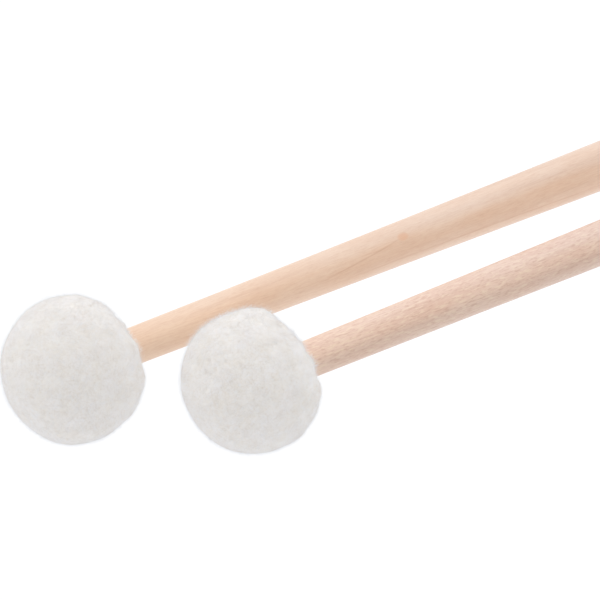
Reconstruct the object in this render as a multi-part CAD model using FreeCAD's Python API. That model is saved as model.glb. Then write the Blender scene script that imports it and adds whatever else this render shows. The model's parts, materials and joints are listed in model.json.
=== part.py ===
"""Matched pair of ball-type timpani mallets lying side by side on a flat surface.

Each mallet is a turned maple handle with a tenon glued into a turned wooden core ball.  A dense felt layer covers
the core, a hard felt washer closes it off behind, and a thick soft felt cover is drawn over both and gathered round
the handle, where a waxed thread ties it down inside a dimple.

Frame, in millimetres: +Z up, +X along the handles from the heads to the butts, +Y towards the left mallet.  Left
and right are as seen from the heads, looking along the handles.  The origin is the middle of the pair's footprint,
on the surface that it lies on.

Every piece is turned about its mallet's own axis.  A profile is a list of edges in (u, r): u runs along the axis
from the head's centre towards the butt, and r is the distance from the axis.
"""

import math
import os

import FreeCAD
import Part

# --- head, all measured from the centre of the ball ---
HEAD_R = 22.0                # outside of the soft felt cover
SHOULDER_R = 10.0            # rounding between the ball and its flattened back
BACK_U = 17.2                # furthest point of the flattened back
CORE_R = 13.0                # turned wooden core
CORE_BACK_U = 10.0           # the core's flat back, which the handle's shoulder butts against
LAYER_R = 17.5               # outside of the dense felt layer and of the washer's rim
WASHER_BACK_U = 13.0         # rear face of the hard felt washer
GLUE_GAP = 0.05              # glue line between two curved faces

# --- gathered neck of the cover and its tie ---
THREAD_D = 0.7
THREAD_TURNS = 3
SLEEVE_R = 6.9               # felt drawn in round the handle, under the thread
GROOVE_R = 7.75              # outer wall of the dimple that the thread lies in
GROOVE_START_U = 14.9        # bottom of that dimple
RUFFLE_U = 17.2              # where the trimmed edge of the felt starts to flare
LIP_U = 18.0                 # end of the trimmed edge
LIP_R = 7.3

# --- handle ---
TENON_R = 4.0
TENON_START_U = -7.0
TENON_CHAMFER = 0.8
TENON_END_GAP = 0.2          # air left in front of the tenon, in the core's blind bore
NECK_R = 5.75                # handle radius where it enters the head
GRIP_R = 8.25
GRIP_START_U = 260.0         # the taper ends here and the plain grip starts
TAPER_NECK_ARM = 151.0       # reach of the taper curve's control arm at the neck
TAPER_NECK_SLOPE = 0.0083    # the taper's first, gentle flare
TAPER_GRIP_ARM = 40.5        # reach of the control arm at the grip
BUTT_U = 352.0               # end of the handle
BUTT_FILLET = 6.0

# --- how the two lie beside each other ---
AXIS_SPACING_Y = 37.5
STAGGER_X = 38.5             # the right mallet lies this much further back

X = FreeCAD.Vector(1, 0, 0)
Y = FreeCAD.Vector(0, 1, 0)
CENTRE = FreeCAD.Vector(0, 0, 0)


def lying_tilt():
    """Angle, in radians, at which a handle slopes down from its ball to its butt when both touch the surface."""
    along = BUTT_U - BUTT_FILLET
    across = GRIP_R - BUTT_FILLET
    drop = HEAD_R - BUTT_FILLET
    return math.asin(drop / math.hypot(along, across)) - math.atan2(across, along)


def head_centre_x():
    """X of the left head's centre that puts the pair's footprint evenly about the origin."""
    tilt = lying_tilt()
    butt_reach = (BUTT_U - BUTT_FILLET) * math.cos(tilt) + (GRIP_R - BUTT_FILLET) * math.sin(tilt) + BUTT_FILLET
    return (HEAD_R - STAGGER_X - butt_reach) / 2


# --- profile edges ---

def line(u0, r0, u1, r1):
    return Part.LineSegment(FreeCAD.Vector(u0, r0, 0), FreeCAD.Vector(u1, r1, 0)).toShape()


def polyline(points):
    return [line(*a, *b) for a, b in zip(points, points[1:])]


def arc(centre_u, centre_r, radius, start, end):
    """Arc from angle start to angle end, in radians, where angle 0 points to the butt and pi / 2 away from the axis."""
    def at(angle):
        return FreeCAD.Vector(centre_u + radius * math.cos(angle), centre_r + radius * math.sin(angle), 0)
    return Part.Arc(at(start), at((start + end) / 2), at(end)).toShape()


def sphere_r(radius, u):
    """Distance from the axis of a centred sphere's surface at u."""
    return math.sqrt(radius ** 2 - u ** 2)


def sphere_angle(radius, u):
    return math.acos(u / radius)


def turned(edges):
    """Solid made by turning a closed profile about the axis."""
    return Part.Face(Part.Wire(Part.sortEdges(edges)[0])).revolve(CENTRE, X, 360)


# --- pieces of one mallet ---

def handle():
    """Maple handle: tenon, shoulder, long taper, plain grip and a rounded butt."""
    taper = Part.BezierCurve()
    taper.setPoles([
        FreeCAD.Vector(LIP_U, NECK_R, 0),
        FreeCAD.Vector(LIP_U + TAPER_NECK_ARM, NECK_R + TAPER_NECK_SLOPE * TAPER_NECK_ARM, 0),
        FreeCAD.Vector(GRIP_START_U - TAPER_GRIP_ARM, GRIP_R, 0),
        FreeCAD.Vector(GRIP_START_U, GRIP_R, 0),
    ])
    tenon = polyline([
        (TENON_START_U, 0),
        (TENON_START_U, TENON_R - TENON_CHAMFER),
        (TENON_START_U + TENON_CHAMFER, TENON_R),
        (CORE_BACK_U, TENON_R),
        (CORE_BACK_U, NECK_R),
        (LIP_U, NECK_R),
    ])
    fillet_u = BUTT_U - BUTT_FILLET
    fillet_r = GRIP_R - BUTT_FILLET
    butt = [
        line(GRIP_START_U, GRIP_R, fillet_u, GRIP_R),
        arc(fillet_u, fillet_r, BUTT_FILLET, math.pi / 2, 0),
        line(BUTT_U, fillet_r, BUTT_U, 0),
    ]
    return turned(tenon + [taper.toShape()] + butt + [line(BUTT_U, 0, TENON_START_U, 0)])


def core():
    """Wooden ball with a flat back and a blind bore for the tenon."""
    bore_r = TENON_R + GLUE_GAP
    bore_end = TENON_START_U - TENON_END_GAP
    outside = arc(0, 0, CORE_R, math.pi, sphere_angle(CORE_R, CORE_BACK_U))
    return turned([outside] + polyline([
        (CORE_BACK_U, sphere_r(CORE_R, CORE_BACK_U)),
        (CORE_BACK_U, bore_r),
        (bore_end, bore_r),
        (bore_end, 0),
        (-CORE_R, 0),
    ]))


def dense_layer():
    """Dense felt cup over the core, cut off flush with the core's flat back."""
    inside_r = CORE_R + GLUE_GAP
    return turned([
        arc(0, 0, LAYER_R, math.pi, sphere_angle(LAYER_R, CORE_BACK_U)),
        line(CORE_BACK_U, sphere_r(LAYER_R, CORE_BACK_U), CORE_BACK_U, sphere_r(inside_r, CORE_BACK_U)),
        arc(0, 0, inside_r, sphere_angle(inside_r, CORE_BACK_U), math.pi),
        line(-inside_r, 0, -LAYER_R, 0),
    ])


def back_washer():
    """Hard felt washer on the handle, behind the core; its rim carries on the dense layer's curve."""
    bore_r = NECK_R + GLUE_GAP
    rim = arc(0, 0, LAYER_R, sphere_angle(LAYER_R, CORE_BACK_U), sphere_angle(LAYER_R, WASHER_BACK_U))
    return turned([rim] + polyline([
        (WASHER_BACK_U, sphere_r(LAYER_R, WASHER_BACK_U)),
        (WASHER_BACK_U, bore_r),
        (CORE_BACK_U, bore_r),
        (CORE_BACK_U, sphere_r(LAYER_R, CORE_BACK_U)),
    ]))


def felt_cover():
    """Soft felt cover: ball, flattened back, dimple for the tie, and the trimmed edge round the handle."""
    bore_r = NECK_R + GLUE_GAP
    inside_r = LAYER_R + GLUE_GAP
    inside_back_u = WASHER_BACK_U + GLUE_GAP
    shoulder_u = BACK_U - SHOULDER_R
    shoulder_centre_r = sphere_r(HEAD_R - SHOULDER_R, shoulder_u)
    shoulder_start = math.atan2(shoulder_centre_r, shoulder_u)
    groove_angle = -math.asin((shoulder_centre_r - GROOVE_R) / SHOULDER_R)
    groove_end_u = shoulder_u + SHOULDER_R * math.cos(groove_angle)
    outside = [
        arc(0, 0, HEAD_R, math.pi, shoulder_start),
        arc(shoulder_u, shoulder_centre_r, SHOULDER_R, shoulder_start, groove_angle),
    ]
    neck = polyline([
        (groove_end_u, GROOVE_R),
        (GROOVE_START_U, GROOVE_R),
        (GROOVE_START_U, SLEEVE_R),
        (RUFFLE_U, SLEEVE_R),
        (LIP_U, LIP_R),
        (LIP_U, bore_r),
        (inside_back_u, bore_r),
        (inside_back_u, sphere_r(inside_r, inside_back_u)),
    ])
    inside = [
        arc(0, 0, inside_r, sphere_angle(inside_r, inside_back_u), math.pi),
        line(-inside_r, 0, -HEAD_R, 0),
    ]
    return turned(outside + neck + inside)


def neck_thread():
    """Waxed thread tied round the gathered felt, one ring per turn."""
    turns = []
    for i in range(THREAD_TURNS):
        u = GROOVE_START_U + THREAD_D * (i + 0.5)
        ring = Part.makeTorus(SLEEVE_R + THREAD_D / 2, THREAD_D / 2 - GLUE_GAP / 2, FreeCAD.Vector(u, 0, 0), X)
        turns.append(ring)
    return Part.makeCompound(turns)


PIECES = {
    "handle": handle,
    "core": core,
    "dense_layer": dense_layer,
    "back_washer": back_washer,
    "felt_cover": felt_cover,
    "neck_thread": neck_thread,
}


def laid_down(shape, side_y, stagger_x):
    """The piece turned to its mallet's slope and moved to its mallet's place."""
    placed = shape.copy()
    placed.rotate(CENTRE, Y, math.degrees(lying_tilt()))
    placed.translate(FreeCAD.Vector(head_centre_x() + stagger_x, side_y, HEAD_R))
    return placed


def main():
    os.makedirs("parts", exist_ok=True)
    places = {"left": (AXIS_SPACING_Y / 2, 0.0), "right": (-AXIS_SPACING_Y / 2, STAGGER_X)}
    for side, (side_y, stagger_x) in places.items():
        for name, make in PIECES.items():
            piece = laid_down(make(), side_y, stagger_x)
            piece.exportStep(f"parts/{side}_{name}.step")


main()
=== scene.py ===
"""Looks of a pair of ball-type timpani mallets: white wool-felt heads on tapered maple handles.

Everything is in metres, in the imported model's frame: +Z up and +X along the handles, from heads to butts.
Each head is shaped in its own mallet's frame, in millimetres: the origin is the centre of the ball, +x runs
along the handle to the butt, +y is the row's +Y and +z is the side that faces up.
"""

import json
import math

import bpy
import numpy as np
from mathutils import Matrix, Vector, noise


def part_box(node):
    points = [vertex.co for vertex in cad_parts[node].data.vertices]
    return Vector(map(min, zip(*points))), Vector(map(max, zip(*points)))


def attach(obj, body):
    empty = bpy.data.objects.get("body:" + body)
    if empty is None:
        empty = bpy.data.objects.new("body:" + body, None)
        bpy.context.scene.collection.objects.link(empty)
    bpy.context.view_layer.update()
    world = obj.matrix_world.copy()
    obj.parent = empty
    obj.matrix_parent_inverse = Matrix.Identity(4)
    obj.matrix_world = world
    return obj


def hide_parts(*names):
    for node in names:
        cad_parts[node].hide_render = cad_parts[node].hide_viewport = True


MM = 0.001
SIDES = ("left", "right")

# --- felt cover, in millimetres ---
BALL_R = 21.8                # the felt's body, under its nap
SHOULDER_R = 9.0             # rounding between the ball and its flattened back
BACK_X = 17.0                # furthest point of the flattened back
GROOVE_R = 7.75              # outer wall of the dimple that the thread lies in
GROOVE_X = 14.95             # bottom of that dimple
SLEEVE_R = 6.9               # felt drawn in round the handle, under the thread
RUFFLE_X = 17.1              # where the trimmed edge starts to flare
LIP_X = 18.0
LIP_R = 7.4
BORE_R = 5.8
CAVITY_R = 17.6              # hollow that holds the dense layer and the washer
CAVITY_BACK_X = 13.1

CAP_QUADS = 24               # quads across the square grid that is wrapped over the front of the ball
CAP_REACH = math.radians(62)
BALL_RINGS = 17
SHOULDER_RINGS = 9

# --- handle, in millimetres along it from the ball's centre ---
TENON_R = 4.0
TENON_X = (-7.0, 10.0)       # the tenon in the core's bore, with a chamfered tip
TENON_CHAMFER = 0.8
NECK_R = 5.75
GRIP_R = 8.25
TAPER = ((18.0, 5.75), (169.0, 7.0033), (219.5, 8.25), (260.0, 8.25))   # Bezier poles of the long taper
BUTT_X = 352.0
BUTT_FILLET = 6.0
HANDLE_SIDES = 128
TAPER_STEPS = 60
BUTT_STEPS = 16

# --- nap, in millimetres ---
FIBRES_PER_PIECE = 32000
LYING = {"length": (1.2, 3.2), "rise": (0.02, 0.13), "radius": (0.010, 0.022), "bias": 1.0}
FUZZ = {"length": (0.5, 3.6), "rise": (0.25, 0.95), "radius": (0.009, 0.018), "bias": 2.2}   # mostly short
FIBRE_SECTION = ((1.0, 0.2), (-1.0, 0.2), (0.0, -0.4))     # flattened, with a low ridge on its outer face
FIBRE_BEND_AT = 0.45         # share of its length at which a fibre bends
FIBRE_BEND = 0.55            # how much it bends sideways there
FIBRE_DROOP = 0.7            # how much of its rise it loses there
ROOT_DEPTH = 0.06
TUFT_SIZE = 4.0              # how far the lie of the fibres stays alike
PATCH_SIZE = 1.6             # size of the felt's creamier patches

# --- thread, in millimetres ---
THREAD_R = 0.32
THREAD_TURNS = 2.8
PLY_R = 0.18
PLY_OFFSET = 0.155
PLY_PITCH = 1.9
KNOT_SCALE = 0.26
KNOT_TURN = {"left": 0.9, "right": 2.3}     # radians round the neck, from +y towards +z

# --- light: brightest overhead, dim along the horizon on the camera's side ---
FLOOR_HALF = 8.0             # metres
FLOOR_BASE = (0.02, 0.02, 0.02, 1)
FLOOR_GLOW = (1.03, 1.035, 1.05, 1)
SKY_COLOUR = (1.0, 0.99, 0.982, 1)
SKY_LOW = 0.60
SKY_RISE = 1.10
DIM_SIDE = (-0.37, -0.92, 0.06)
DIM_SHARE = 0.75

# --- camera ---
CAMERA_AZIMUTH = 323.16      # degrees; 0 looks along +Y
CAMERA_ELEVATION = 35.0
CAMERA_DISTANCE = 1.249
CAMERA_LENS = 240.8
SENSOR = 36.0
AIM_FROM_LEFT_HEAD = Vector((79.95, -7.25, -4.0)) * MM

noise.seed_set(1)            # noise_vector is shifted by the time of day until a seed is set


# ---------------------------------------------------------------- frame

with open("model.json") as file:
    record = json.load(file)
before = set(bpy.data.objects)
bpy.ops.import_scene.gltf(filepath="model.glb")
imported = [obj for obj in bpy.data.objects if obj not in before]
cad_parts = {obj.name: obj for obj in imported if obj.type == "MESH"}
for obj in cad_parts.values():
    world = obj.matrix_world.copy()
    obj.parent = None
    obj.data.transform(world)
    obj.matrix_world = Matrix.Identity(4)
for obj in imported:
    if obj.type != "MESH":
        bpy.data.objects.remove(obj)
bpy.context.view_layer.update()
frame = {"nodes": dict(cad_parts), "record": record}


class Mallet:
    """Where one mallet lies, and the matrix from its own millimetres to the row's metres."""

    def __init__(self, side):
        self.side = side
        self.body = f"{side}_mallet"
        low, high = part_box(f"{side}_felt_cover")
        radius = (high.y - low.y) / 2
        self.centre = Vector((low.x + radius, (low.y + high.y) / 2, low.z + radius))
        grip = next(m for m in frame["record"]["mounts"] if m["name"] == f"{side}_grip")
        along = Vector(grip["axis"]).normalized()
        across = Vector((0, 1, 0))
        turn = Matrix((along, across, along.cross(across))).transposed()
        self.rotation = turn.to_euler()
        self.place = Matrix.Translation(self.centre) @ turn.to_4x4() @ Matrix.Scale(MM, 4)


MALLETS = {side: Mallet(side) for side in SIDES}


# ---------------------------------------------------------------- node helpers

def srgb(r, g, b):
    """Scene-linear colour, with alpha, of 8-bit screen values."""
    return tuple(((c / 255 + 0.055) / 1.055) ** 2.4 for c in (r, g, b)) + (1.0,)


class Nodes:
    """Short calls for building one material's node tree."""

    def __init__(self, name, world=None):
        self.material = world or bpy.data.materials.new(name)
        self.material.use_nodes = True
        self.tree = self.material.node_tree
        self.shader = self.tree.nodes.get("Principled BSDF")

    def add(self, kind, **settings):
        node = self.tree.nodes.new(kind)
        for key, value in settings.items():
            setattr(node, key, value)
        return node

    def link(self, source, target):
        self.tree.links.new(source, target)

    def fill(self, socket, value):
        if isinstance(value, bpy.types.NodeSocket):
            self.link(value, socket)
        else:
            socket.default_value = value

    def math(self, operation, a, b=0.0):
        node = self.add("ShaderNodeMath", operation=operation)
        self.fill(node.inputs[0], a)
        self.fill(node.inputs[1], b)
        return node.outputs[0]

    def vector(self, operation, a, b=(0, 0, 0)):
        node = self.add("ShaderNodeVectorMath", operation=operation)
        self.fill(node.inputs[0], a)
        self.fill(node.inputs[1], b)
        return node.outputs["Value" if operation in ("LENGTH", "DOT_PRODUCT") else "Vector"]

    def own_millimetres(self, mallet):
        """The point in the mallet's own frame, in millimetres."""
        node = self.add("ShaderNodeMapping", vector_type="TEXTURE")
        self.link(self.add("ShaderNodeTexCoord").outputs["Object"], node.inputs["Vector"])
        node.inputs["Location"].default_value = mallet.centre
        node.inputs["Rotation"].default_value = mallet.rotation
        node.inputs["Scale"].default_value = (MM, MM, MM)
        return node.outputs["Vector"]

    def millimetres(self):
        """The point in the row's frame, in millimetres."""
        return self.vector("MULTIPLY", self.add("ShaderNodeTexCoord").outputs["Object"], (1 / MM,) * 3)

    def noise(self, point, size, detail=2.0, roughness=0.5, offset=(0, 0, 0)):
        """Noise from 0 to 1 with features about size millimetres across; size may differ by axis."""
        size = size if isinstance(size, tuple) else (size,) * 3
        scaled = self.vector("MULTIPLY", point, tuple(1 / s for s in size))
        node = self.add("ShaderNodeTexNoise")
        self.link(self.vector("ADD", scaled, offset), node.inputs["Vector"])
        node.inputs["Scale"].default_value = 1.0
        node.inputs["Detail"].default_value = detail
        node.inputs["Roughness"].default_value = roughness
        return node.outputs["Fac"]

    def ramp(self, value, *stops):
        """Colour along value; each stop is (place, colour), or (place, grey)."""
        node = self.add("ShaderNodeValToRGB")
        elements = node.color_ramp.elements
        while len(elements) < len(stops):
            elements.new(0.5)
        for element, (place, colour) in zip(elements, stops):
            element.position = place
            element.color = colour if isinstance(colour, tuple) else (colour,) * 3 + (1.0,)
        self.link(value, node.inputs["Fac"])
        return node.outputs["Color"]

    def mix(self, share, a, b, blend="MIX"):
        node = self.add("ShaderNodeMix", data_type="RGBA", blend_type=blend)
        self.fill(node.inputs["Factor"], share)
        self.fill(node.inputs["A"], a)
        self.fill(node.inputs["B"], b)
        return node.outputs["Result"]

    def bump(self, height, distance, strength=1.0):
        """Height, from 0 to 1, as a bump of distance millimetres."""
        node = self.add("ShaderNodeBump")
        node.inputs["Strength"].default_value = strength
        node.inputs["Distance"].default_value = distance * MM
        self.link(height, node.inputs["Height"])
        self.link(node.outputs["Normal"], self.shader.inputs["Normal"])

    def set(self, **values):
        """Plain values and links of the shader's own sockets, such as roughness=0.5."""
        for key, value in values.items():
            self.fill(self.shader.inputs[key.replace("_", " ")], value)
        return self.material


# ---------------------------------------------------------------- materials

# Solid maple, by mallet: where the pith lies from the handle's axis in mm, how the grain runs out of the stick,
# how strong the growth lines and the ray flecks are, the tint towards the head, how much painted shade darkens
# its lower side, and colours from the palest early wood to the darkest line.
MAPLE = {
    "left": {"pith": (0, 31, 44), "run_out": (0.030, -0.022), "lines": 0.20, "flecks": 0.35,
             "head_tint": (1.0, 0.975, 0.935, 1), "low_side_shade": 0.98,
             "pale": srgb(242, 215, 193), "warm": srgb(238, 206, 181), "line": srgb(208, 162, 130)},
    "right": {"pith": (0, -52, 12), "run_out": (0.012, 0.020), "lines": 0.16, "flecks": 1.0,
              "head_tint": (1.0, 0.99, 0.975, 1), "low_side_shade": 0.90,
              "pale": srgb(241, 213, 195), "warm": srgb(235, 201, 181), "line": srgb(203, 158, 134)},
}
RING_SPACING = 3.4                       # lengths are in millimetres
KNOT_AT = (123.0, -4.0, 5.5)             # pin knot on the left handle, in its own frame
KNOT_SIZE = 1.8
KNOT_COLOUR = srgb(235, 190, 157)
PALE_FLECK = srgb(247, 224, 200)
PAINTED_TOP_TINT = (0.92, 0.945, 1.0, 1.0)       # painted highlight tint: the upper side made less warm, as where the light falls on it
# Dark streaks on the near side of the left handle: from x to x, height z at the first and at the last, half
# width and strength. The first trails from the knot.
STREAKS = ((86.0, 122.0, 1.8, 5.4, 0.32, 0.42), (92.0, 202.0, -0.3, -1.1, 0.40, 0.38))


def maple(mallet):
    """Pale flat-sawn maple: faint growth lines that run out of the stick, ray flecks and a thin finish."""
    look = MAPLE[mallet.side]
    n = Nodes(f"{mallet.side}_maple")
    point = n.own_millimetres(mallet)
    split = n.add("ShaderNodeSeparateXYZ")
    n.link(point, split.inputs[0])
    along, across, high = (split.outputs[axis] for axis in "XYZ")

    # Growth rings are wobbly cylinders round a pith that lies outside the stick, at a slight angle to it.
    wobble = n.noise(point, (70, 14, 14), detail=2)
    out_y, out_z = (n.math("MULTIPLY", along, slope) for slope in look["run_out"])
    y = n.math("SUBTRACT", n.math("ADD", across, out_y), look["pith"][1])
    z = n.math("SUBTRACT", n.math("ADD", high, out_z), look["pith"][2])
    radius = n.math("SQRT", n.math("ADD", n.math("MULTIPLY", y, y), n.math("MULTIPLY", z, z)))
    rings = n.math("DIVIDE", radius, RING_SPACING)
    season = n.math("FRACT", n.math("ADD", rings, n.math("MULTIPLY", wobble, 1.8)))
    late = n.ramp(season, (0.0, 0.35), (0.12, 0.0), (0.55, 0.1), (0.9, 0.9), (0.97, 1.0), (1.0, 0.35))
    uneven = n.noise(point, (45, 3.0, 3.0), detail=1, offset=(7, 0, 0))
    late = n.math("MULTIPLY", late, n.ramp(uneven, (0.3, 0.1), (0.7, 1.0)))

    cloud = n.noise(point, (30, 7, 7), detail=2, offset=(0, 9, 4))
    colour = n.mix(n.ramp(cloud, (0.32, 0.0), (0.68, 1.0)), look["pale"], look["warm"])
    colour = n.mix(n.math("MULTIPLY", late, look["lines"]), colour, look["line"])
    fibre = n.noise(point, (7, 0.34, 0.34), detail=3, roughness=0.7, offset=(3, 5, 0))
    colour = n.mix(n.ramp(fibre, (0.36, 0.20), (0.56, 0.0)), colour, look["line"])

    # Ray flecks: short soft dashes, darker and paler than the wood between them.
    dark_fleck = n.noise(point, (2.4, 0.5, 0.5), detail=2, roughness=0.6, offset=(0, 0, 11))
    pale_fleck = n.noise(point, (3.0, 0.7, 0.7), detail=2, roughness=0.6, offset=(4, 0, 23))
    dark_fleck = n.math("MULTIPLY", n.ramp(dark_fleck, (0.50, 0.0), (0.66, 1.0)), 0.42 * look["flecks"])
    pale_fleck = n.math("MULTIPLY", n.ramp(pale_fleck, (0.50, 0.0), (0.66, 1.0)), 0.60 * look["flecks"])
    colour = n.mix(dark_fleck, colour, look["line"])
    colour = n.mix(pale_fleck, colour, PALE_FLECK)

    if mallet.side == "left":
        for first, last, low, top, width, strength in STREAKS:
            slope = (top - low) / (last - first)
            line = n.math("ADD", n.math("MULTIPLY", along, slope), low - slope * first)
            off = n.math("ADD", n.math("SUBTRACT", high, line), n.math("SUBTRACT", wobble, 0.5))
            off = n.math("DIVIDE", n.math("ABSOLUTE", off), width)
            share = n.ramp(off, (0.0, strength), (1.0, 0.0))
            share = n.math("MULTIPLY", share, n.ramp(uneven, (0.3, 0.5), (0.6, 1.0)))
            place = n.math("DIVIDE", n.math("SUBTRACT", along, first), last - first)
            share = n.math("MULTIPLY", share, n.ramp(place, (0.0, 0.0), (0.2, 1.0), (0.9, 1.0), (1.0, 0.0)))
            share = n.math("MULTIPLY", share, n.math("LESS_THAN", across, 0.0))
            colour = n.mix(share, colour, look["line"])
        away = n.vector("MULTIPLY", n.vector("SUBTRACT", point, KNOT_AT), (0.62, 1.0, 1.0))
        reach = n.math("ADD", n.vector("LENGTH", away), n.math("MULTIPLY", fibre, 0.4))
        share = n.ramp(n.math("DIVIDE", reach, KNOT_SIZE), (0.45, 0.85), (0.70, 0.6), (0.95, 0.0))
        colour = n.mix(share, colour, KNOT_COLOUR)

    tint = n.ramp(n.math("DIVIDE", along, 150.0), (0.1, look["head_tint"]), (0.9, 1.0))
    colour = n.mix(1.0, colour, tint, "MULTIPLY")
    # Painted light and shade: the lower side is darkened and the upper side tinted, as light falls from above.
    level = n.ramp(n.math("ADD", n.math("MULTIPLY", high, 0.06), 0.5), (0.57, look["low_side_shade"]), (0.71, 1.0),
                   (0.78, 1.0), (0.90, PAINTED_TOP_TINT))
    colour = n.mix(1.0, colour, level, "MULTIPLY")

    n.bump(n.math("ADD", fibre, n.math("MULTIPLY", late, -0.4)), 0.02, 0.35)
    rough = n.ramp(fibre, (0.2, 0.40), (0.8, 0.54))
    return n.set(Base_Color=colour, Roughness=rough, Specular_IOR_Level=0.45, Coat_Weight=0.3,
                 Coat_Roughness=0.32)


# Wool is white because light goes from fibre to fibre many more times than is traced. So the fibres have a
# greyer base colour than wool, and an even painted glow stands in for the rest. The thin fuzz glows a cooler
# white: painted light in place of the light that shines through it at the rims.
WOOL_GLOW = (1.0, 0.95, 0.89, 1.0)
FELT_STRENGTH = 0.04
LYING_TONES = (srgb(187, 178, 168), srgb(189, 183, 178))      # creamiest first
LYING_STRENGTH = 0.295
FUZZ_TONE = srgb(192, 191, 191)
FUZZ_GLOW = (0.89, 0.94, 1.02, 1.0)
FUZZ_STRENGTH = 0.465


def soft_felt(mallet):
    """Fluffy white wool felt: matted fibre in creamy patches, lit through at its edges."""
    n = Nodes(f"{mallet.side}_soft_felt")
    point = n.own_millimetres(mallet)
    shift = n.add("ShaderNodeTexNoise")
    n.link(n.vector("MULTIPLY", point, (0.35, 0.35, 0.35)), shift.inputs["Vector"])
    shift.inputs["Scale"].default_value = 1.0
    swirl = n.vector("ADD", point, n.vector("MULTIPLY", shift.outputs["Color"], (3.0, 3.0, 3.0)))
    matted = n.noise(swirl, (1.0, 0.45, 0.6), detail=4, roughness=0.65)
    crossed = n.noise(swirl, (0.5, 1.0, 0.8), detail=4, roughness=0.65, offset=(5, 0, 0))
    patches = n.noise(point, 6.0, detail=2, offset=(0, 3, 0))
    colour = n.mix(n.ramp(patches, (0.35, 0.0), (0.65, 1.0)), srgb(252, 248, 246), srgb(249, 244, 239))
    tangle = n.math("MULTIPLY", n.math("ADD", matted, crossed), 0.5)
    colour = n.mix(n.ramp(tangle, (0.36, 0.25), (0.52, 0.0)), colour, srgb(238, 232, 222))
    n.bump(tangle, 0.3, 0.15)
    # The faint emission is a painted glow, standing in for light passed on between the fibres.
    return n.set(Base_Color=colour, Roughness=n.ramp(tangle, (0.3, 0.98), (0.7, 0.85)), Specular_IOR_Level=0.1,
                 Subsurface_Weight=0.6, Subsurface_Radius=(1.0, 0.95, 0.9), Subsurface_Scale=0.002,
                 Sheen_Weight=0.6, Sheen_Roughness=0.5, Emission_Color=WOOL_GLOW,
                 Emission_Strength=FELT_STRENGTH)


def nap(name, tone, glow, strength):
    """Single wool fibres of one tone, far too thin to show a pattern."""
    # The emission is a painted glow, standing in for light passed on between the fibres; the fuzz's is cooler.
    return Nodes(name).set(Base_Color=tone, Roughness=1.0, Specular_IOR_Level=0.0, Emission_Color=glow,
                           Emission_Strength=strength)


def pressed_felt(name, light, dark):
    """Dense pressed felt for the hidden layers: short crossed fibre."""
    n = Nodes(name)
    point = n.millimetres()
    tangle = n.noise(point, (1.2, 0.35, 0.35), detail=3, roughness=0.7)
    n.bump(tangle, 0.15, 0.5)
    return n.set(Base_Color=n.ramp(tangle, (0.35, dark), (0.65, light)), Roughness=0.95)


def core_wood():
    """Turned hardwood of the hidden core, with plain rings."""
    n = Nodes("core_wood")
    point = n.millimetres()
    grain = n.noise(point, (20, 1.4, 1.4), detail=3, roughness=0.6)
    n.bump(grain, 0.05, 0.4)
    colour = n.ramp(grain, (0.35, srgb(196, 160, 120)), (0.65, srgb(222, 190, 150)))
    return n.set(Base_Color=colour, Roughness=0.6)


def thread():
    """Waxed linen: pale, slightly shiny, with painted shade darkening the low spots between its fibres."""
    n = Nodes("thread")
    point = n.millimetres()
    fibre = n.noise(point, 0.12, detail=3)
    n.bump(fibre, 0.03, 0.5)
    # Painted shade: the colour darkens where the fibre bump is low.
    colour = n.ramp(fibre, (0.35, srgb(228, 212, 186)), (0.6, srgb(246, 236, 218)))
    return n.set(Base_Color=colour, Roughness=0.55)


# ---------------------------------------------------------------- pieces

def new_piece(name, mesh, mallet, material):
    """A mesh given in the mallet's millimetres, put in the row and made to ride on its mallet."""
    mesh.transform(mallet.place)
    mesh.shade_smooth()
    mesh.materials.append(material)
    piece = bpy.data.objects.new(name, mesh)
    bpy.context.scene.collection.objects.link(piece)
    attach(piece, mallet.body)
    return piece


def mesh_of(name, points, faces):
    mesh = bpy.data.meshes.new(name)
    mesh.from_pydata([tuple(map(float, p)) for p in points], [], faces)
    mesh.update()
    return mesh


# ---------------------------------------------------------------- felt cover

# How each head departs from a true ball, all in its own frame. A press flattens the felt to a soft plane: its
# direction, its distance from the centre and its softness. A swell raises it: its direction, its height and its
# spread in degrees.
SHAPES = {
    "left": {
        "presses": [((0.83, -0.16, 0.53), 21.2, 1.2), ((0, 0, -1), 21.7, 0.3)],
        "swells": [((-0.03, 0.67, 0.74), 0.8, 50), ((0.80, -0.58, -0.12), 0.9, 35),
                   ((0.80, -0.50, 0.20), 0.6, 22), ((-0.34, -0.46, -0.82), 0.8, 45)],
    },
    "right": {
        "presses": [((0.95, -0.06, 0.30), 17.2, 1.3), ((0, 0, -1), 21.7, 0.3)],
        "swells": [((-0.86, 0.29, -0.41), -1.5, 50), ((0.10, -0.70, -0.71), -0.3, 35),
                   ((0.70, -0.69, -0.18), 1.0, 30), ((0.40, 0.35, 0.85), 1.0, 16)],
    },
}
LUMPS = ((9.0, 0.32), (3.8, 0.08), (1.7, 0.035))     # size and height of the felt's unevenness
LUMP_SHIFT = {"left": (31.7, 4.2, 0.5), "right": (2.3, 17.9, 8.1)}

# The gather behind the head, a cloth simulation.
CLOTH_SCALE = 0.1            # the sheet is simulated with 0.1 m for each millimetre
DRAWN_IN_AT = 18             # frame at which the hem reaches the neck
CLOTH_FRAMES = 28
SPARE_FROM_X = 6.0           # where the sheet starts to be cut wider than the ball
SPARE_CLOTH = 5.5            # how much wider it is at the neck, in millimetres of radius
PLEATS = {"left": 13, "right": 15}
PLEAT_DEPTH = 1.1            # soft limit on how far a pleat goes in or out, in millimetres
HEM_RINGS = 8                # rings of the sheet that the thread holds


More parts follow.
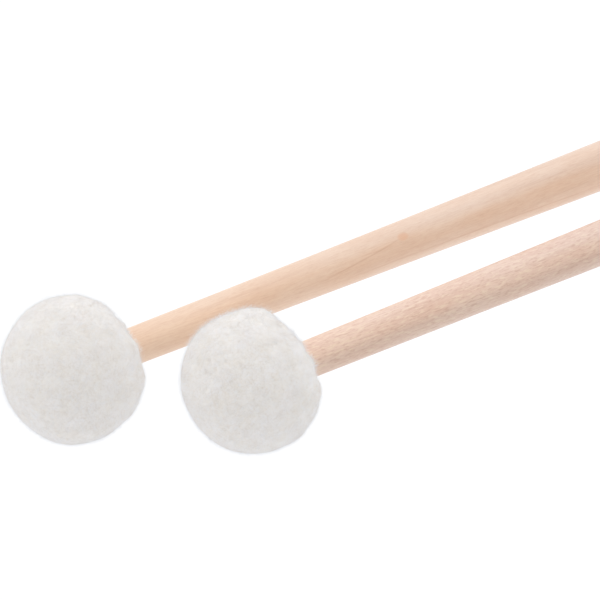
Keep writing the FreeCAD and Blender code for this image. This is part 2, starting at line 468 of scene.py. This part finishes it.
def outer_profile():
    """(x, r) points of the cover's outside, from the edge of the front cap to the trimmed lip."""
    shoulder_x = BACK_X - SHOULDER_R
    shoulder_r = math.sqrt((BALL_R - SHOULDER_R) ** 2 - shoulder_x ** 2)
    shoulder_start = math.atan2(shoulder_r, shoulder_x)
    groove = -math.asin((shoulder_r - GROOVE_R) / SHOULDER_R)
    points = []
    for i in range(1, BALL_RINGS + 1):
        angle = math.pi - CAP_REACH + (shoulder_start - math.pi + CAP_REACH) * i / BALL_RINGS
        points.append((BALL_R * math.cos(angle), BALL_R * math.sin(angle)))
    for i in range(1, SHOULDER_RINGS + 1):
        angle = shoulder_start + (groove - shoulder_start) * i / SHOULDER_RINGS
        points.append((shoulder_x + SHOULDER_R * math.cos(angle), shoulder_r + SHOULDER_R * math.sin(angle)))
    return points + [
        (GROOVE_X + 1.0, GROOVE_R - 0.05), (GROOVE_X + 0.1, GROOVE_R - 0.15), (GROOVE_X + 0.1, SLEEVE_R + 0.1),
        (GROOVE_X + 0.9, SLEEVE_R), (RUFFLE_X, SLEEVE_R), (LIP_X - 0.4, LIP_R - 0.1), (LIP_X, LIP_R - 0.1),
        (LIP_X, BORE_R + 0.35),
    ]


def inner_profile():
    """(x, r) points of the cover's inside, from the lip through the bore and round the hollow to its front."""
    corner = math.acos(CAVITY_BACK_X / CAVITY_R)
    points = [(LIP_X - 0.3, BORE_R), (15.6, BORE_R), (CAVITY_BACK_X + 0.2, BORE_R),
              (CAVITY_BACK_X, BORE_R + 0.3), (CAVITY_BACK_X, CAVITY_R * math.sin(corner) - 0.3)]
    for i in range(8):
        angle = corner + 0.03 + (math.pi - corner - 0.15) * i / 7
        points.append((CAVITY_R * math.cos(angle), CAVITY_R * math.sin(angle)))
    return points


def turned(points, faces, loop, profile):
    """Adds a ring of points for each (x, r) of a profile, joined to a loop of points; returns the last ring."""
    turns = [math.atan2(points[k][2], points[k][1]) for k in loop]
    for x, r in profile:
        ring = range(len(points), len(points) + len(loop))
        points += [(x, r * math.cos(t), r * math.sin(t)) for t in turns]
        for k in range(len(loop)):
            after = (k + 1) % len(loop)
            faces.append((loop[k], loop[after], ring[after], ring[k]))
        loop = list(ring)
    return loop


def cover_sheet():
    """The cover's outside as one open sheet of quads: a square grid over the front, then rings to the lip."""
    n = CAP_QUADS
    points, faces, at = [], [], {}
    for i in range(n + 1):
        for j in range(n + 1):
            a, b = 2 * i / n - 1, 2 * j / n - 1
            across, up = a * math.sqrt(1 - b * b / 2), b * math.sqrt(1 - a * a / 2)
            reach, turn = CAP_REACH * math.hypot(across, up), math.atan2(up, across)
            at[i, j] = len(points)
            points.append((-BALL_R * math.cos(reach), BALL_R * math.sin(reach) * math.cos(turn),
                           BALL_R * math.sin(reach) * math.sin(turn)))
    for i in range(n):
        for j in range(n):
            faces.append((at[i, j], at[i, j + 1], at[i + 1, j + 1], at[i + 1, j]))
    rim = ([(i, 0) for i in range(n)] + [(n, j) for j in range(n)]
           + [(n - i, n) for i in range(n)] + [(0, n - j) for j in range(n)])
    hem = turned(points, faces, [at[k] for k in rim], outer_profile())
    return points, faces, hem


def unit(vectors):
    return vectors / np.linalg.norm(vectors, axis=1, keepdims=True)


def gathered(mallet, points, faces):
    """The sheet after a cloth simulation. Its hem starts wider than the neck and is drawn in, so it pleats."""
    dice = np.random.default_rng(11 if mallet.side == "left" else 29)
    last = len(points) - HEM_RINGS * 4 * CAP_QUADS
    radius = np.hypot(points[:, 1], points[:, 2])
    turn = np.arctan2(points[:, 2], points[:, 1])
    back = np.clip((points[:, 0] - SPARE_FROM_X) / (BACK_X - SPARE_FROM_X), 0, 1)
    shift = dice.uniform(0, 6.28, 2)
    wave = np.sin(PLEATS[mallet.side] * turn + 2.2 * np.sin(turn + shift[0])
                  + 1.3 * np.sin(2 * turn + shift[1]))
    loose = points.copy()
    loose[:, 1:] *= (1 + back ** 1.2 * SPARE_CLOTH / np.maximum(radius, 1))[:, None]
    loose += unit(points) * (0.55 * wave * np.clip(back * 1.2 - 0.2, 0, 1))[:, None]
    loose += dice.normal(0, 0.05, points.shape)
    ruffled = points.copy()
    flare = np.clip((radius - SLEEVE_R) / (LIP_R - SLEEVE_R), 0, 1)[last:] * (points[last:, 0] > RUFFLE_X)
    ruffled[last:, 1:] *= (1 + 0.03 * flare * np.sin(2.6 * PLEATS[mallet.side] * turn[last:]))[:, None]

    sheet = bpy.data.objects.new("sheet", mesh_of("sheet", loose * CLOTH_SCALE, faces))
    bpy.context.scene.collection.objects.link(sheet)
    sheet.shape_key_add(name="loose")
    tied = sheet.shape_key_add(name="tied")
    tied.data.foreach_set("co", (ruffled * CLOTH_SCALE).ravel())
    for value, at in ((0, 1), (1, DRAWN_IN_AT)):
        tied.value = value
        tied.keyframe_insert("value", frame=at)
    held = sheet.vertex_groups.new(name="held")
    grip = np.maximum(np.clip((6 - points[:, 0]) / 8, 0, 1), 0.05)
    grip[last:] = 1
    for i, weight in enumerate(grip):
        held.add([i], float(weight), "REPLACE")

    cloth = sheet.modifiers.new("cloth", "CLOTH")
    cloth.settings.vertex_group_mass = "held"
    cloth.settings.quality = 8
    cloth.settings.mass = 0.2
    cloth.settings.tension_stiffness = cloth.settings.compression_stiffness = 30
    cloth.settings.shear_stiffness = 15
    cloth.settings.bending_stiffness = 2.5
    cloth.settings.tension_damping = cloth.settings.compression_damping = 5
    cloth.settings.use_pressure = True
    cloth.settings.uniform_pressure_force = 1.0
    cloth.settings.effector_weights.gravity = 0
    cloth.collision_settings.use_collision = False
    cloth.point_cache.frame_end = CLOTH_FRAMES
    for at in range(1, CLOTH_FRAMES + 1):
        bpy.context.scene.frame_set(at)
    settled = bpy.data.meshes.new_from_object(sheet.evaluated_get(bpy.context.evaluated_depsgraph_get()))
    result = np.empty(len(points) * 3)
    settled.vertices.foreach_get("co", result)
    bpy.data.objects.remove(sheet)
    bpy.context.scene.frame_set(1)
    move = result.reshape(-1, 3) / CLOTH_SCALE - points
    outward = unit(points)
    depth = (move * outward).sum(1)
    limited = PLEAT_DEPTH * np.tanh(depth / PLEAT_DEPTH)
    moved = points + outward * limited[:, None] + 0.7 * (move - outward * depth[:, None])
    moved[last:] = ruffled[last:]
    return moved


def fine(points, faces, outside):
    """Two levels of subdivision, as (mesh, points, normals, outside)."""
    rough = bpy.data.objects.new("rough", mesh_of("rough", points, faces))
    rough.data.attributes.new("outside", "FLOAT", "POINT").data.foreach_set("value", outside.astype(np.float32))
    bpy.context.scene.collection.objects.link(rough)
    divide = rough.modifiers.new("divide", "SUBSURF")
    divide.levels = divide.render_levels = 2
    mesh = bpy.data.meshes.new_from_object(rough.evaluated_get(bpy.context.evaluated_depsgraph_get()))
    bpy.data.objects.remove(rough)
    count = len(mesh.vertices)
    at, out, side = np.empty(count * 3), np.empty(count * 3, np.float32), np.empty(count, np.float32)
    mesh.vertices.foreach_get("co", at)
    mesh.vertex_normals.foreach_get("vector", out)
    mesh.attributes["outside"].data.foreach_get("value", side)
    mesh.attributes.remove(mesh.attributes["outside"])
    return mesh, at.reshape(-1, 3), out.reshape(-1, 3).astype(float), side.astype(float)


def shaped(points, shape):
    """The points moved by a head's presses and swells."""
    points = points.copy()
    for direction, distance, softness in shape["presses"]:
        direction = np.array(direction) / np.linalg.norm(direction)
        depth = points @ direction
        points -= np.outer(softness * np.logaddexp(0, (depth - distance) / softness), direction)
    for direction, height, spread in shape["swells"]:
        direction = np.array(direction) / np.linalg.norm(direction)
        outward = unit(points)
        angle = np.degrees(np.arccos(np.clip(outward @ direction, -1, 1)))
        points += outward * (height * np.exp(-(angle / spread) ** 2))[:, None]
    return points


def felt_mesh(mallet):
    """The cover as a closed felt shell, lumpy and gathered, with a plain hollow; also its nap's ground."""
    points, faces, hem = cover_sheet()
    count = len(points)
    points = gathered(mallet, np.array(points), faces).tolist()
    ring = turned(points, faces, hem, inner_profile())
    points.append((-CAVITY_R, 0, 0))
    faces += [(ring[k], ring[(k + 1) % len(ring)], len(points) - 1) for k in range(len(ring))]
    outside = (np.arange(len(points)) < count).astype(float)
    mesh, points, normals, outside = fine(points, faces, outside)
    away = np.array(LUMP_SHIFT[mallet.side])
    body = np.clip((16.4 - points[:, 0]) / 3, 0, 1) * (outside > 0.99)
    lumps = np.array([sum(height * noise.noise(Vector(p) / size) for size, height in LUMPS) if part else 0
                      for p, part in zip(points + away, body)])
    points = points + normals * (lumps * body)[:, None]
    points += (shaped(points, SHAPES[mallet.side]) - points) * body[:, None]
    mesh.vertices.foreach_set("co", points.ravel())
    mesh.update()
    corners = np.empty(len(mesh.loops), int)
    mesh.loops.foreach_get("vertex_index", corners)
    corners = corners.reshape(-1, 4)
    ground = corners[(outside[corners] > 0.99).all(1) & (points[corners, 0] < 16.6).all(1)]
    return mesh, points, ground


# ---------------------------------------------------------------- nap

def fibre_mesh(name, mallet, roots, out, lie, kind, dice):
    """Bent, pointed fibres, one from each root, apart from those that would reach into the floor."""
    count = len(roots)
    short, tall = kind["length"]
    length = short + (tall - short) * dice.random(count) ** kind["bias"]
    rise = dice.uniform(*kind["rise"], count)
    across = unit(np.cross(out, lie + dice.normal(size=(count, 3))))
    ahead = across * np.sqrt(1 - rise ** 2)[:, None] + out * rise[:, None]
    side = unit(np.cross(ahead, out))
    sideways = side * dice.normal(0, FIBRE_BEND, count)[:, None]
    bent = unit(ahead + sideways - out * (rise * FIBRE_DROOP)[:, None])
    thick = dice.uniform(*kind["radius"], count)[:, None]
    start = roots - out * ROOT_DEPTH
    middle = start + ahead * (length * FIBRE_BEND_AT)[:, None]
    inward = np.cross(ahead, side)
    section = [middle + (side * wide + inward * low) * thick for wide, low in FIBRE_SECTION]
    tip = middle + bent * (length * (1 - FIBRE_BEND_AT))[:, None]
    verts = np.stack([start, *section, tip], axis=1)
    lift = np.array(mallet.place)[2]
    verts = verts[(verts @ lift[:3] + lift[3] > 0).all(axis=1)]
    pattern = [face for k in range(3) for face in ((0, 1 + k, 1 + (k + 1) % 3), (1 + k, 4, 1 + (k + 1) % 3))]
    faces = (np.array(pattern)[None] + 5 * np.arange(len(verts))[:, None, None]).reshape(-1, 3)
    verts = verts.reshape(-1, 3)
    mesh = bpy.data.meshes.new(name)
    mesh.vertices.add(len(verts))
    mesh.vertices.foreach_set("co", verts.ravel())
    mesh.loops.add(faces.size)
    mesh.loops.foreach_set("vertex_index", faces.ravel())
    mesh.polygons.add(len(faces))
    mesh.polygons.foreach_set("loop_start", np.arange(0, faces.size, 3))
    mesh.update(calc_edges=True)
    return mesh


def grow_nap(mallet, points, ground):
    """Loose wool fibres all over the head, in pieces small enough to be kept whole: first those that lie down,
    the creamiest patches first, then the fuzz."""
    dice = np.random.default_rng(5 if mallet.side == "left" else 8)
    shift = Vector(LUMP_SHIFT[mallet.side])
    a, b, c, d = (points[ground[:, k]] for k in range(4))
    facing = np.cross(c - a, d - b)
    area = np.linalg.norm(facing, axis=1)

    def rooted(count):
        pick = dice.choice(len(ground), count, p=area / area.sum())
        u, v = dice.random((2, count, 1))
        low, high = a[pick] * (1 - u) + b[pick] * u, d[pick] * (1 - u) + c[pick] * u
        return low * (1 - v) + high * v, unit(facing[pick])

    def plant(name, roots, out, kind, material):
        lie = np.array([noise.noise_vector((Vector(root) - shift) / TUFT_SIZE) for root in roots])
        new_piece(name, fibre_mesh(name, mallet, roots, out, lie, kind, dice), mallet, material)

    roots, out = rooted(FIBRES_PER_PIECE * len(LYING_TONES))
    patch = np.array([noise.noise(p / PATCH_SIZE) + 0.7 * noise.noise(p / (4 * PATCH_SIZE))
                      for p in (Vector(root) + shift for root in roots)]) + dice.normal(0, 0.2, len(roots))
    for number, part in enumerate(np.split(np.argsort(patch), len(LYING_TONES))):
        name = f"{mallet.side}_nap_{number + 1}"
        plant(name, roots[part], out[part], LYING, nap(name, LYING_TONES[number], WOOL_GLOW, LYING_STRENGTH))
    for number in (1, 2):
        name = f"{mallet.side}_fuzz_{number}"
        plant(name, *rooted(FIBRES_PER_PIECE), FUZZ, nap(name, FUZZ_TONE, FUZZ_GLOW, FUZZ_STRENGTH))


# ---------------------------------------------------------------- handle

def handle_profile():
    """(x, r) points of the turned handle, from the tip of the tenon to the middle of the butt."""
    start, shoulder = TENON_X
    points = [(start, TENON_R - TENON_CHAMFER), (start + TENON_CHAMFER, TENON_R), (shoulder - 0.05, TENON_R),
              (shoulder, TENON_R + 0.05), (shoulder, NECK_R - 0.05), (shoulder + 0.05, NECK_R)]
    for i in range(TAPER_STEPS + 1):
        t = i / TAPER_STEPS
        share = ((1 - t) ** 3, 3 * t * (1 - t) ** 2, 3 * t * t * (1 - t), t ** 3)
        points.append(tuple(sum(s * pole[k] for s, pole in zip(share, TAPER)) for k in (0, 1)))
    points += [(x, GRIP_R) for x in (285, 310, 335)]
    for i in range(BUTT_STEPS + 1):
        turn = math.pi / 2 * (1 - i / BUTT_STEPS)
        points.append((BUTT_X - BUTT_FILLET * (1 - math.cos(turn)),
                       GRIP_R - BUTT_FILLET * (1 - math.sin(turn))))
    return points


def handle_mesh(mallet):
    """The handle as one closed lathe-turned skin, from a ring inside the flat tip of its tenon."""
    start, tip_r = TENON_X[0], TENON_R - 1.5 * TENON_CHAMFER
    turns = [2 * math.pi * k / HANDLE_SIDES for k in range(HANDLE_SIDES)]
    points = [(start, math.cos(t) * tip_r, math.sin(t) * tip_r) for t in turns]
    faces = []
    loop = turned(points, faces, list(range(HANDLE_SIDES)), handle_profile())
    for x, ring in ((start, range(HANDLE_SIDES)), (BUTT_X, loop)):
        points.append((x, 0, 0))
        flip = x == BUTT_X
        for k in range(HANDLE_SIDES):
            a, b = ring[k], ring[(k + 1) % HANDLE_SIDES]
            faces.append((a, b, len(points) - 1) if flip else (b, a, len(points) - 1))
    return mesh_of(f"{mallet.side}_stick", points, faces)


# ---------------------------------------------------------------- thread

def tube(points, radius, sides=8, share_at_ends=0.75):
    """(verts, faces) of a closed tube along points."""
    points = np.array(points)
    ahead = unit(np.gradient(points, axis=0))
    side = np.cross(ahead[0], (0.3, 0.9, 0.2))
    verts, faces = [], []
    for k, (at, way) in enumerate(zip(points, ahead)):
        side = side - way * (side @ way)
        side /= np.linalg.norm(side)
        up = np.cross(way, side)
        r = radius * (share_at_ends if k in (0, len(points) - 1) else 1)
        for j in range(sides):
            turn = 2 * math.pi * j / sides
            verts.append(at + r * (side * math.cos(turn) + up * math.sin(turn)))
    for k in range(len(points) - 1):
        for j in range(sides):
            i = (j + 1) % sides
            faces.append((k * sides + j, k * sides + i, (k + 1) * sides + i, (k + 1) * sides + j))
    end = (len(points) - 1) * sides
    faces.append(tuple(reversed(range(sides))))
    faces.append(tuple(range(end, end + sides)))
    return verts, faces


def plied(points):
    """Three plies twisted round a path, each a tube of its own."""
    points = np.array(points)
    ahead = unit(np.gradient(points, axis=0))
    run = np.concatenate([[0], np.cumsum(np.linalg.norm(np.diff(points, axis=0), axis=1))])
    side = unit(np.cross(ahead, unit(points * (0, 1, 1) + (0, 1e-6, 0))))
    up = np.cross(ahead, side)
    for k in range(3):
        turn = 2 * math.pi * (run / PLY_PITCH + k / 3)
        yield points + PLY_OFFSET * (side * np.cos(turn)[:, None] + up * np.sin(turn)[:, None])


def winding(mallet):
    """The thread's paths: the turns round the neck, a small overhand knot and two cut ends."""
    knot_turn = KNOT_TURN[mallet.side]
    steps = int(THREAD_TURNS * 2 * math.pi * (SLEEVE_R + THREAD_R) / 0.3)
    first, final = GROOVE_X + 0.15 + THREAD_R, RUFFLE_X - THREAD_R + 0.05
    turns = []
    for i in range(steps + 1):
        t = i / steps
        angle = knot_turn + 2 * math.pi * THREAD_TURNS * t
        r = SLEEVE_R + THREAD_R - 0.03 + 0.25 * (max(0, 1 - 14 * t) ** 2 + max(0, 14 * t - 13) ** 2)
        turns.append((first + (final - first) * t, r * math.cos(angle), r * math.sin(angle)))
    out = np.array((0, math.cos(knot_turn), math.sin(knot_turn)))
    sideways = np.array((0, -math.sin(knot_turn), math.cos(knot_turn)))
    along = np.array((1.0, 0, 0))
    middle = out * (SLEEVE_R + 2 * THREAD_R + 0.35) + along * (first + final) / 2
    knot = []
    for i in range(61):
        t = 2 * math.pi * i / 60
        trefoil = ((math.sin(t) + 2 * math.sin(2 * t)) * sideways + (math.cos(t) - 2 * math.cos(2 * t)) * along
                   - 0.9 * math.sin(3 * t) * out)
        knot.append(middle + KNOT_SCALE * trefoil)
    ends = []
    for way, lean in ((1, 0.5), (-1, 0.15)):
        ends.append([middle + sideways * way * (0.3 + 2.6 * t) + out * (0.1 + 0.9 * t * t)
                     + along * lean * t * 1.6 for t in np.linspace(0, 1, 14)])
    return [turns, knot] + ends


def thread_mesh(mallet):
    verts, faces = [], []
    for path in winding(mallet):
        for ply in plied(path):
            more, sides = tube(ply, PLY_R)
            faces += [tuple(i + len(verts) for i in face) for face in sides]
            verts += more
    return mesh_of(f"{mallet.side}_thread", verts, faces)


# ---------------------------------------------------------------- the two mallets

CAD_MATERIALS = {
    "core": core_wood(),
    "dense_layer": pressed_felt("dense_felt", srgb(214, 209, 196), srgb(180, 174, 160)),
    "back_washer": pressed_felt("washer_felt", srgb(196, 190, 178), srgb(158, 152, 140)),
    "neck_thread": thread(),
}


def paint(node, material):
    piece = frame["nodes"][node]
    piece.data.materials.clear()
    piece.data.materials.append(material)


for side, mallet in MALLETS.items():
    stick = new_piece(f"{side}_stick", handle_mesh(mallet), mallet, maple(mallet))
    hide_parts(f"{side}_handle")
    for node, material in CAD_MATERIALS.items():
        paint(f"{side}_{node}", material)
    felt, felt_points, ground = felt_mesh(mallet)
    cover = new_piece(f"{side}_cover", felt, mallet, soft_felt(mallet))
    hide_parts(f"{side}_felt_cover")
    grow_nap(mallet, felt_points, ground)
    wound = new_piece(f"{side}_winding", thread_mesh(mallet), mallet, CAD_MATERIALS["neck_thread"])
    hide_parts(f"{side}_neck_thread")


# ---------------------------------------------------------------- floor, light and camera

def stage():
    """A white floor that glows like a light table, and a white surround, darker low behind the camera."""
    corners = [(x * FLOOR_HALF, y * FLOOR_HALF, 0) for x, y in ((-1, -1), (1, -1), (1, 1), (-1, 1))]
    mesh = mesh_of("floor", corners, [(0, 1, 2, 3)])
    floor = bpy.data.objects.new("floor", mesh)
    bpy.context.scene.collection.objects.link(floor)
    n = Nodes("floor")
    mesh.materials.append(n.set(Base_Color=FLOOR_BASE, Roughness=1.0, Specular_IOR_Level=0.0,
                                Emission_Color=FLOOR_GLOW, Emission_Strength=1.0))

    n = Nodes("surround", bpy.data.worlds.new("surround"))
    bpy.context.scene.world = n.material
    background = n.tree.nodes["Background"]
    background.inputs["Color"].default_value = SKY_COLOUR
    towards = n.add("ShaderNodeTexCoord").outputs["Generated"]
    split = n.add("ShaderNodeSeparateXYZ")
    n.link(towards, split.inputs[0])
    height = n.math("MAXIMUM", split.outputs["Z"], 0.0)
    sky = n.math("ADD", n.math("MULTIPLY", height, SKY_RISE), SKY_LOW)
    facing = n.vector("DOT_PRODUCT", towards, DIM_SIDE)
    dim = n.math("SUBTRACT", 1.0, n.math("MULTIPLY", n.math("MAXIMUM", facing, 0.0), DIM_SHARE))
    n.link(n.math("MULTIPLY", sky, dim), background.inputs["Strength"])


def camera():
    """A long lens that looks down at the heads from the right mallet's side, in front of them."""
    data = bpy.data.cameras.new("camera")
    data.lens, data.sensor_width = CAMERA_LENS, SENSOR
    data.clip_start, data.clip_end = 0.05, 50
    eye = bpy.data.objects.new("camera", data)
    bpy.context.scene.collection.objects.link(eye)
    azimuth, elevation = math.radians(CAMERA_AZIMUTH), math.radians(CAMERA_ELEVATION)
    back = Vector((math.sin(azimuth) * math.cos(elevation), -math.cos(azimuth) * math.cos(elevation),
                   math.sin(elevation)))
    eye.location = MALLETS["left"].centre + AIM_FROM_LEFT_HEAD + back * CAMERA_DISTANCE
    eye.rotation_mode = "QUATERNION"
    eye.rotation_quaternion = (-back).to_track_quat("-Z", "Y")
    bpy.context.scene.camera = eye


stage()
camera()
bpy.context.scene.view_settings.view_transform = "Standard"
